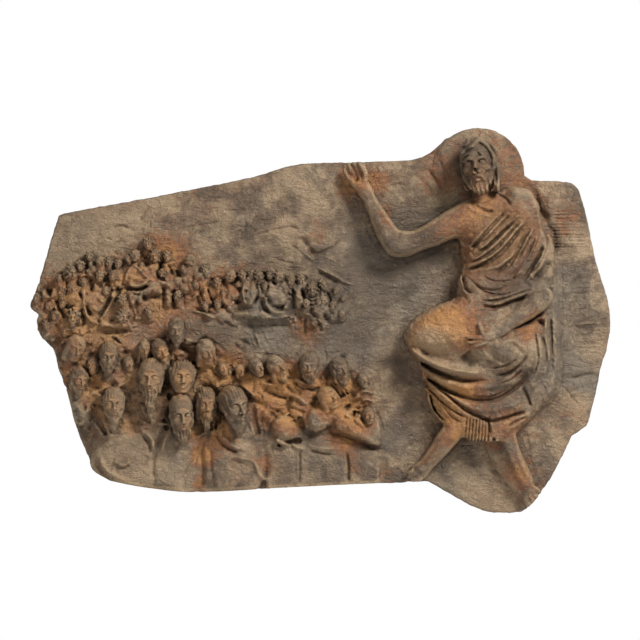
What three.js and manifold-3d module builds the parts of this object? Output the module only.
// A cast bronze relief plaque: a seated, haloed teacher with one raised hand
// speaks to a crowd that fills a hillside. It is one casting with a flat back.
//
// Millimetres. X runs to the right, Z up, and the relief faces -Y, so a point
// that stands "height" above the flat back lies at y = -height. The origin is
// the middle of the back face, where the plaque meets its wall.

import * as THREE from 'three';
import { mergeVertices } from 'three/addons/utils/BufferGeometryUtils.js';
import Module from 'manifold-3d';

const wasm = await Module();
wasm.setup();

// ---------------------------------------------------------------- dimensions

const rimHeight = 11; // the slab's edge stands at least this high
const groundHeight = 15; // blank ground above the back
const reliefDepth = 68; // knees of the seated figure, the highest point
const groundStep = 36; // spacing of the ground's facets
const rootHeight = 13; // how deep raised shapes are rooted in the ground

const halo = { x: 163, z: 150, radius: 48.5, height: 19 };

// Near its edge the front rolls down towards the rim, over this distance.
const edgeRoll = 24;
const edgeDrop = 0.6; // share of the height above the rim that is lost at the edge

// Swellings of the ground: [x, z, half width, half height, rise].
const hills = [
  [-222, 22, 84, 56, 9],
  [-48, 16, 84, 44, 8],
  [-120, -14, 62, 34, 9],
  [-205, -48, 88, 52, 10],
  [-20, -64, 92, 54, 9],
  [-178, -118, 92, 82, 13],
  [-80, -128, 84, 74, 12],
  [8, -138, 88, 60, 9],
  [172, -10, 104, 190, 5],
];

// People of the crowd: head [x, z, width, height, middle height above back,
// tilt of the crown to the right, turn of the face to the right, beard length].
const frontRow = {
  longBeard: [-173, -59, 26, 38, 36, 0, -4, 24],
  roundHair: [-141, -58, 24, 34, 36, 4, 10, 2],
  pointedBeard: [-211, -85, 22, 30, 36, 0, 6, 18],
  tallHood: [-142, -97, 25, 40, 40, -3, 12, 14],
  strandedHair: [-117, -84, 19, 34, 34, 0, 14, 14],
  baldElder: [-87, -88, 26, 40, 42, -8, 24, 18],
};
const middleRows = {
  leaningYouth: [-251, -29, 18, 26, 30, 14, 12, 0],
  longFace: [-217, -36, 18, 30, 31, 4, 6, 10],
  darkBeard: [-247, -60, 17, 24, 31, 8, 24, 10],
  child: [-233, -46, 14, 20, 27, 0, -20, 0],
  thinFace: [-180, -30, 10, 21, 28, 0, 8, 0],
  curlyBeard: [-163, -33, 18, 27, 31, -12, 16, 2],
  standingMan: [-147, -9, 15, 24, 36, 0, 6, 6],
  hoodedWoman: [-117, -33, 18, 28, 33, -6, 20, 0],
  lookingRight: [-65, -49, 15, 19, 29, -20, 30, 0],
  leaningHead: [-43, -49, 16, 25, 30, -24, 24, 0],
  roundBeard: [-11, -46, 20, 26, 31, 0, 0, 0],
  streamingHair: [20, -51, 18, 22, 30, -14, 26, 0],
  lowerListener: [9, -80, 20, 22, 31, -24, 26, 0],
  distantOne: [48, -97, 13, 14, 25, 0, 0, 0],
};

// Small heads on the two far slopes: [x, z, radius].
const farLeft = [
  [-237, 66, 5], [-225, 59, 5.5], [-215, 58, 5], [-255, 49, 7], [-245, 55, 5],
  [-190, 66, 5.5], [-177, 77, 5.5], [-170, 66, 6.5], [-157, 66, 5], [-133, 61, 5],
  [-118, 51, 4.5], [-226, 45, 5.5], [-210, 46, 6], [-254, 33, 5.5], [-265, 28, 6],
  [-279, 30, 5], [-289, 33, 4.5], [-292, 14, 7], [-279, 14, 5.5], [-252, 2, 8],
  [-203, 21, 5.5], [-203, 3, 6.5], [-162, 46, 5],
];
const farRight = [
  [-105, 37, 5], [-91, 42, 5.5], [-79, 43, 5], [-71, 46, 4.5], [-63, 42, 6],
  [-51, 45, 5], [-42, 42, 5.5], [-23, 38, 5.5], [-7, 29, 6.5], [2, 35, 5],
  [3, 20, 4.5],
];

// Wrapped bodies: path of [x, z, height] down the middle, and half widths.
const cloaks = [
  { path: [[-211, -104, 26], [-205, -128, 28], [-192, -152, 25], [-178, -178, 15]], widths: [13, 30, 27, 22] },
  { path: [[-166, -102, 26], [-158, -124, 30], [-148, -152, 28], [-148, -184, 14]], widths: [12, 19, 27, 27] },
  { path: [[-92, -118, 26], [-94, -140, 30], [-90, -160, 26], [-88, -186, 14]], widths: [14, 30, 33, 34] },
  { path: [[-38, -122, 22], [-36, -142, 24], [-34, -176, 14]], widths: [14, 15, 15] },
  { path: [[2, -122, 22], [2, -142, 26], [2, -176, 14]], widths: [16, 22, 22] },
  { path: [[42, -132, 22], [44, -150, 20], [44, -174, 13]], widths: [14, 18, 18] },
  { path: [[-256, -84, 22], [-247, -102, 24], [-240, -122, 18]], widths: [8, 12, 10] },
  { path: [[8, -104, 28], [36, -114, 29], [60, -129, 22]], widths: [12, 12, 6] },
  { path: [[-66, -62, 22], [-56, -82, 24], [-56, -100, 20]], widths: [9, 14, 12] },
  { path: [[-22, -68, 24], [-16, -86, 25], [-22, -98, 20]], widths: [12, 14, 12] },
  { path: [[-138, -22, 26], [-120, -44, 28], [-100, -54, 22]], widths: [6, 9, 5] },
];

// Wrapped bodies on the far slopes: [x, z, half width, half height, height].
const farBodies = [
  [-188, 46, 13, 12, 22],
  [-178, 29, 15, 6, 24],
  [-212, -5, 17, 5, 23],
  [-231, 18, 10, 14, 23],
  [-91, 23, 8, 11, 24],
  [-71, 23, 8, 11, 24],
  [-44, 20, 12, 12, 24],
  [-52, 3, 24, 4, 24],
];

// Heads seen from behind, as plain rounded masses: [x, z, half width, half height, height].
const bentHeads = [
  [-38, -111, 14, 14, 32],
  [-2, -102, 12.5, 12.5, 34],
  [-104, -82, 7, 9, 24],
];

// Level rings of the seated body from the shoulders to the hem:
// [z, left x, right x, height of the front].
const bodyRings = [
  [134, 184, 203, 28],
  [126, 158, 215, 36],
  [118, 142, 221, 41],
  [100, 141, 228, 44],
  [76, 143, 233, 45],
  [52, 144, 236, 44],
  [34, 143, 237, 45],
  [20, 132, 238, 49],
  [6, 110, 239, 54],
  [-10, 95, 240, 57],
  [-28, 93, 240, 58],
  [-44, 102, 240, 55],
  [-60, 105, 238, 52],
  [-80, 111, 232, 51],
  [-98, 121, 220, 50],
  [-112, 132, 206, 48],
  [-124, 148, 194, 44],
];

// Rounded masses laid into the body: [x, z, half width, half height, middle height, half depth].
const bodyMasses = [
  [134, -14, 44, 36, 30, 33],
  [196, -28, 42, 28, 30, 33],
  [205, 96, 18, 28, 32, 15],
];

// Ridges of cloth: path of [x, z, height], half width, depth as a share of the half width.
const folds = [
  { path: [[196, 126, 38], [180, 108, 43], [160, 86, 44], [147, 74, 40]], width: 4 },
  { path: [[206, 124, 38], [192, 106, 45], [172, 82, 46], [147, 66, 41]], width: 4.5 },
  { path: [[213, 118, 39], [203, 98, 46], [184, 74, 46], [165, 60, 46], [146, 56, 41]], width: 4.5 },
  { path: [[219, 108, 42], [212, 84, 48], [196, 62, 48], [172, 52, 47], [147, 48, 42]], width: 4 },
  { path: [[226, 98, 42], [219, 72, 46], [206, 48, 46], [186, 38, 45]], width: 4 },
  { path: [[143, 121, 37], [156, 114, 43], [172, 109, 44], [184, 116, 42], [190, 130, 36]], width: 3.5 },
  { path: [[92, -30, 46], [112, -44, 58], [136, -52, 61], [172, -54, 58]], width: 5 },
  { path: [[103, -54, 40], [125, -65, 52], [150, -74, 54], [178, -76, 54], [206, -60, 52]], width: 5 },
  { path: [[116, -70, 44], [136, -84, 52], [156, -92, 53], [182, -92, 53], [212, -76, 48]], width: 4.5 },
  { path: [[222, -18, 48], [221, -44, 52], [216, -72, 48], [206, -98, 44]], width: 4 },
  { path: [[237, 26, 44], [238, -14, 44], [236, -52, 42], [226, -84, 38]], width: 5 },
  { path: [[150, 18, 48], [178, 22, 52], [206, 31, 50], [234, 32, 44]], width: 5 },
];

// Pleats combed side by side at the middle of the hem.
const hemPleats = { count: 5, left: 150, right: 171, top: -99, bottom: -124, height: 51, width: 2.8 };

// Limbs of the seated figure: path of [x, z, height], half widths, then the front's
// and the back's depth as shares of the half width. A deep back roots it in the ground.
const limbs = [
  { path: [[156, 104, 34], [126, 90, 36], [100, 80, 36], [82, 76, 35]], widths: [17, 14, 12, 12], depth: 0.9, root: 1.8 },
  { path: [[82, 78, 35], [72, 87, 36], [62, 104, 34], [53, 122, 31], [46, 133, 29]], widths: [13, 13, 9, 6.5, 8], depth: 0.85, root: 2.2 },
  { path: [[47, 129, 29], [42, 140, 29], [41, 150, 28]], widths: [7, 10, 8], depth: 0.6, root: 1.4 },
  { path: [[34, 140, 28], [31, 150, 29], [27.5, 160, 26]], widths: [3, 2.8, 2.2], depth: 1, root: 4 },
  { path: [[39, 148, 29], [34.5, 160, 26]], widths: [3.2, 2.3], depth: 1, root: 4 },
  { path: [[45, 147, 29], [40.5, 159, 26]], widths: [3.2, 2.3], depth: 1, root: 4 },
  { path: [[235, 26, 46], [214, 13, 54], [194, -3, 60], [180, -13, 60]], widths: [9, 8, 7, 6], depth: 0.9, root: 1.6 },
  { path: [[181, -14, 60], [167, -18, 61], [150, -19, 58]], widths: [6, 6, 3], depth: 0.7, root: 1.5 },
  { path: [[168, -15, 60], [162, -5, 63]], widths: [3, 2.6], depth: 1, root: 2 },
  { path: [[134, -112, 33], [121, -134, 28], [108, -150, 25], [99, -158, 21]], widths: [10, 9, 8, 8], depth: 0.9, root: 1.5 },
  { path: [[196, -122, 33], [203, -146, 28], [211, -166, 25], [218, -181, 20]], widths: [8, 8, 8, 8], depth: 0.9, root: 1.5 },
  { path: [[165, 136, 34], [166, 112, 36]], widths: [11, 13], depth: 1, root: 1.5 },
];

// Toes fan out from the end of each foot: [x, z] of the first and last tip, and of the foot's middle.
const feet = [
  { heel: [102, -154], first: [92, -152], last: [104, -166], height: 22 },
  { heel: [214, -172], first: [226, -176], last: [214, -191], height: 21 },
];
const toeCount = 4;

// -------------------------------------------------------------------- shapes

const at = (x, z, height) => new THREE.Vector3(x, -height, z);

// The slab's outline: broken straight stretches, the halo's arc and rounded lobes.
function outline() {
  const shape = new THREE.Shape();
  shape.moveTo(-270, 108);
  shape.lineTo(-251, 113);
  shape.lineTo(-185, 125);
  shape.lineTo(-102, 141);
  shape.splineThru(points([[-61, 150], [-37, 158], [-12, 162], [30, 163]]));
  shape.lineTo(92, 165);
  shape.splineThru(points([[108, 170], [122, 180], [130, 188]]));
  shape.absarc(halo.x, halo.z, halo.radius, 2.2, -0.02, true);
  shape.lineTo(219, 144.5);
  shape.lineTo(254, 143);
  shape.splineThru(points([[264, 139], [270, 126], [277, 98], [285, 61], [296, 25], [300, -2], [296, -31]]));
  shape.splineThru(points([[290, -50], [283, -84], [276, -109]]));
  shape.lineTo(260, -120);
  shape.splineThru(points([[254, -133], [238, -164], [220, -189], [208, -198]]));
  shape.splineThru(points([[190, -200], [168, -197], [141, -184], [112, -167]]));
  shape.lineTo(11, -171);
  shape.lineTo(-45, -174);
  shape.splineThru(points([[-82, -176], [-133, -178], [-180, -173], [-216, -166]]));
  shape.splineThru(points([[-234, -155], [-240, -140], [-253, -109]]));
  shape.splineThru(points([[-260, -78], [-268, -57], [-276, -29]]));
  shape.splineThru(points([[-289, -17], [-293, -3], [-291, 5]]));
  shape.splineThru(points([[-300, 14], [-296, 24], [-291, 37]]));
  shape.lineTo(-278, 82);
  shape.lineTo(-270, 108);
  const fine = shape.getPoints(2);
  return fine.filter((p, i) => i === 0 || p.distanceTo(fine[i - 1]) > 3);
}

function points(pairs) {
  return pairs.map(([x, z]) => new THREE.Vector2(x, z));
}

// A closed body from rings of equal length, fanned shut at both ends.
function loft(rings) {
  const sides = rings[0].length;
  const positions = rings.flat().flatMap((p) => [p.x, p.y, p.z]);
  const index = [];
  for (let r = 0; r + 1 < rings.length; r += 1) {
    for (let s = 0; s < sides; s += 1) {
      const a = r * sides + s;
      const b = r * sides + ((s + 1) % sides);
      index.push(a, b, b + sides, a, b + sides, a + sides);
    }
  }
  [0, rings.length - 1].forEach((r) => {
    const middle = rings[r].reduce((sum, p) => sum.add(p), new THREE.Vector3()).divideScalar(sides);
    const centre = positions.length / 3;
    positions.push(middle.x, middle.y, middle.z);
    for (let s = 0; s < sides; s += 1) {
      const a = r * sides + s;
      const b = r * sides + ((s + 1) % sides);
      index.push(...(r === 0 ? [centre, b, a] : [centre, a, b]));
    }
  });
  return bodyOf(positions, index);
}

// Makes a geometry, with its triangles turned so that they face out.
function bodyOf(positions, index) {
  const corner = (i) => new THREE.Vector3().fromArray(positions, 3 * i);
  let volume = 0;
  for (let i = 0; i < index.length; i += 3) {
    const [a, b, c] = [corner(index[i]), corner(index[i + 1]), corner(index[i + 2])];
    volume += a.dot(b.cross(c));
  }
  const facing = volume < 0 ? index.slice().reverse() : index;
  const geometry = new THREE.BufferGeometry();
  geometry.setAttribute('position', new THREE.Float32BufferAttribute(positions, 3));
  geometry.setIndex(facing);
  return geometry;
}

function solid(geometry) {
  const bare = geometry.clone();
  bare.deleteAttribute('normal');
  bare.deleteAttribute('uv');
  const merged = mergeVertices(bare, 1e-4);
  const vertProperties = Float32Array.from(merged.attributes.position.array);
  const triVerts = Uint32Array.from(merged.index.array);
  return new wasm.Manifold(new wasm.Mesh({ numProp: 3, vertProperties, triVerts }));
}

// A rounded bar along a path of [x, z, height], with a half width at each point.
// Its front half bulges by "depth" of that width and its back half by "root" of it.
function bar(path, widths, depth, root, sides, blunt = false) {
  const stations = path.map(([x, z, h]) => at(x, z, h));
  const ends = path.length - 1;
  const rings = [];
  stations.forEach((p, i) => {
    const before = stations[Math.max(0, i - 1)];
    const after = stations[Math.min(ends, i + 1)];
    const along = after.clone().sub(before).normalize();
    const side = new THREE.Vector3(along.z, 0, -along.x).normalize();
    const front = new THREE.Vector3().crossVectors(side, along).normalize();
    const ring = (scale, shift) => Array.from({ length: sides }, (_, s) => {
      const turn = (2 * Math.PI * (s + 0.5)) / sides;
      const rise = Math.sin(turn) * (Math.sin(turn) > 0 ? depth : root);
      return p.clone()
        .addScaledVector(along, shift * widths[i])
        .addScaledVector(side, Math.cos(turn) * widths[i] * scale)
        .addScaledVector(front, rise * widths[i] * scale);
    });
    if (i === 0 && !blunt) rings.push(ring(0.55, -0.75));
    rings.push(ring(1, 0));
    if (i === ends && !blunt) rings.push(ring(0.55, 0.75));
  });
  return solid(loft(rings));
}

// An egg-shaped mass, its long axis turned in the plane of the slab.
function mass(x, z, halfWidth, halfHeight, height, halfDepth, tilt = 0, sides = 8, rings = 6) {
  const geometry = new THREE.SphereGeometry(1, sides, rings);
  geometry.rotateX(Math.PI / 2);
  geometry.scale(halfWidth, halfDepth, halfHeight);
  geometry.rotateY(THREE.MathUtils.degToRad(tilt));
  geometry.translate(x, -height, z);
  return solid(geometry);
}

// Profile of a head from beard tip to crown: [level, width, depth at the front].
// Level 0 is the chin and 1 the crown; each is a share of the head's own size.
const headLevels = [
  [0.0, 0.46, 0.66],
  [0.14, 0.66, 0.78],
  [0.22, 0.74, 0.76],
  [0.32, 0.86, 1.02],
  [0.5, 0.96, 0.84],
  [0.58, 1.0, 0.92],
  [0.76, 0.96, 0.82],
  [0.92, 0.62, 0.5],
  [1.0, 0.24, 0.16],
];
const headColumns = [-140, -84, -36, 0, 36, 84, 140];
const smallHeadLevels = [0, 3, 5, 7].map((i) => headLevels[i]);

function head(x, z, width, height, middle, tilt, turn, beard, levels = headLevels) {
  const tiltAngle = THREE.MathUtils.degToRad(tilt);
  const turnAngle = THREE.MathUtils.degToRad(turn);
  const depth = width * 0.58;
  const place = (across, up, forward) => {
    const px = across * Math.cos(turnAngle) + forward * Math.sin(turnAngle);
    const ph = forward * Math.cos(turnAngle) - across * Math.sin(turnAngle);
    const rx = px * Math.cos(tiltAngle) + up * Math.sin(tiltAngle);
    const rz = up * Math.cos(tiltAngle) - px * Math.sin(tiltAngle);
    return at(x + rx, z + rz, middle + ph);
  };
  const ring = ([level, wide, deep], up = (level - 0.5) * height) => headColumns.map((column) => {
    const angle = THREE.MathUtils.degToRad(column);
    const toward = Math.cos(angle);
    const nose = toward > 0.9 ? deep : Math.min(deep, 0.8);
    const forward = toward < -0.5 ? rootHeight - middle : toward * nose * depth;
    return place(Math.sin(angle) * wide * width / 2, up, forward);
  });
  const rings = levels.map((level) => ring(level));
  if (beard > 0) {
    const chin = -height / 2;
    rings.unshift(ring([0, 0.2, 0.4], chin - beard));
  }
  return solid(loft(rings));
}

// ------------------------------------------------------------------- ground

const rim = outline();

function distanceToEdge(x, z) {
  const p = new THREE.Vector3(x, z, 0);
  const nearest = new THREE.Vector3();
  const distances = rim.map((a, i) => {
    const b = rim[(i + 1) % rim.length];
    const side = new THREE.Line3(new THREE.Vector3(a.x, a.y, 0), new THREE.Vector3(b.x, b.y, 0));
    return side.closestPointToPoint(p, true, nearest).distanceTo(p);
  });
  return Math.min(...distances);
}

function isInside(x, z) {
  return rim.reduce((inside, a, i) => {
    const b = rim[(i + 1) % rim.length];
    const crosses = (a.y > z) !== (b.y > z) && x < a.x + ((z - a.y) * (b.x - a.x)) / (b.y - a.y);
    return crosses ? !inside : inside;
  }, false);
}

function groundAt(x, z) {
  const rises = hills.map(([cx, cz, rx, rz, rise]) => {
    const away = Math.hypot((x - cx) / rx, (z - cz) / rz);
    return rise * (1 - THREE.MathUtils.smoothstep(away, 0.25, 1));
  });
  const full = groundHeight + 0.8 * rises.reduce((sum, rise) => sum + rise, 0);
  const inward = isInside(x, z) ? distanceToEdge(x, z) : 0;
  const kept = 1 - edgeDrop * (1 - THREE.MathUtils.smoothstep(inward, 0, edgeRoll));
  return rimHeight + (full - rimHeight) * kept;
}

// The rolling front of the slab over a rectangle a little larger than the outline.
function groundBlock() {
  const halfWidth = 306;
  const halfHeight = 206;
  const columns = Math.round((2 * halfWidth) / groundStep);
  const rows = Math.round((2 * halfHeight) / groundStep);
  const geometry = new THREE.BoxGeometry(2 * halfWidth, groundHeight, 2 * halfHeight, columns, 1, rows);
  const place = geometry.attributes.position;
  for (let i = 0; i < place.count; i += 1) {
    const front = place.getY(i) < 0;
    place.setY(i, front ? -groundAt(place.getX(i), place.getZ(i)) : groundHeight);
  }
  return solid(geometry);
}

// The whole outline as a tall block, which trims everything to the slab's edge.
function outlineBlock() {
  const geometry = new THREE.ExtrudeGeometry(new THREE.Shape(rim), {
    depth: reliefDepth + 10,
    bevelEnabled: false,
  });
  geometry.rotateX(Math.PI / 2);
  return solid(geometry);
}

function haloDisc() {
  const disc = new THREE.CylinderGeometry(halo.radius - 1.5, halo.radius, halo.height - 2, 24);
  disc.translate(halo.x, -(halo.height + 2) / 2, halo.z);
  return solid(disc);
}

// -------------------------------------------------------------------- crowd

function crowd() {
  const people = [
    ...Object.values(frontRow).map((row) => head(...row)),
    ...Object.values(middleRows).map((row) => head(...row, smallHeadLevels)),
  ];
  const small = [...farLeft, ...farRight].map(([x, z, radius]) => {
    const middle = groundAt(x, z) + radius * 0.25;
    return mass(x, z, radius * 0.95, radius * 1.2, middle, radius, 0, 4, 3);
  });
  const bent = bentHeads.map(([x, z, halfWidth, halfHeight, height]) => (
    mass(x, z, halfWidth, halfHeight, height - 6, 14, 0, 8, 6)
  ));
  const bodies = cloaks.map(({ path, widths }) => bar(path, widths, 0.6, 1.4, 5, true));
  const far = farBodies.map(([x, z, halfWidth, halfHeight, height]) => (
    mass(x, z, halfWidth, halfHeight, height - 6, 9, 0, 6, 3)
  ));
  return [...people, ...small, ...bent, ...bodies, ...far];
}

// ------------------------------------------------------------ seated teacher

function robedBody() {
  const sides = 12;
  const back = groundHeight - 6;
  const rings = bodyRings.map(([z, left, right, front]) => (
    Array.from({ length: sides }, (_, s) => {
      const turn = (2 * Math.PI * s) / sides;
      const bulge = Math.sign(Math.sin(turn)) * Math.abs(Math.sin(turn)) ** 0.8;
      const height = bulge > 0 ? back + 4 + bulge * (front - back - 4) : back + 4 + bulge * 4;
      return at((left + right) / 2 + (Math.cos(turn) * (right - left)) / 2, z, height);
    })
  ));
  return solid(loft(rings));
}

function pleatedHem() {
  const { count, left, right, top, bottom, height, width } = hemPleats;
  return Array.from({ length: count }, (_, i) => {
    const x = left + ((right - left) * i) / (count - 1);
    const path = [[x + 1, top, height - 3], [x, (top + bottom) / 2, height], [x - 1, bottom, height - 4]];
    return bar(path, [width, width, width], 1.2, 1.2, 4, true);
  });
}

function toes() {
  return feet.flatMap(({ heel, first, last, height }) => (
    Array.from({ length: toeCount }, (_, i) => {
      const share = i / (toeCount - 1);
      const tip = [0, 1].map((k) => first[k] + (last[k] - first[k]) * share);
      const root = [0, 1].map((k) => heel[k] + (tip[k] - heel[k]) * 0.35);
      return bar([[...root, height], [...tip, height - 2]], [2.5, 2.2], 1.2, 2, 4, true);
    })
  ));
}

function teacher() {
  const hair = [
    mass(162, 161, 20, 28, 34, 17, 6),
    bar([[176, 182, 36], [183, 164, 34], [183, 148, 30], [181, 139, 27]], [6, 5, 4, 2.5], 1, 3, 4, true),
    bar([[150, 180, 36], [146, 164, 33], [146, 148, 29]], [5, 4, 2.5], 1, 3, 4, true),
  ];
  const face = head(161, 161, 31, 52, 42, -6, -10, 4);
  const masses = bodyMasses.map((row) => mass(...row));
  const cloth = folds.map(({ path, width }) => bar(path, path.map(() => width), 1, 1.4, 4, true));
  const parts = limbs.map(({ path, widths, depth, root }) => bar(path, widths, depth, root, 6));
  return [robedBody(), face, ...hair, ...masses, ...cloth, ...parts, ...pleatedHem(), ...toes()];
}

// ------------------------------------------------------------------ assembly

function reliefPlaque() {
  const joined = [groundBlock(), haloDisc(), ...crowd(), ...teacher()];
  const whole = wasm.Manifold.union(joined).intersect(outlineBlock());
  const { vertProperties, triVerts } = whole.getMesh();
  const geometry = new THREE.BufferGeometry();
  geometry.setAttribute('position', new THREE.BufferAttribute(vertProperties, 3));
  geometry.setIndex(new THREE.BufferAttribute(triVerts, 1));
  geometry.computeVertexNormals();
  const bronze = new THREE.MeshStandardMaterial({ color: 0x6b5844, roughness: 0.62, metalness: 0.55 });
  const plaque = new THREE.Mesh(geometry, bronze);
  plaque.name = 'relief_plaque';
  return plaque;
}

const work = new THREE.Group();
work.add(reliefPlaque());

export default work;
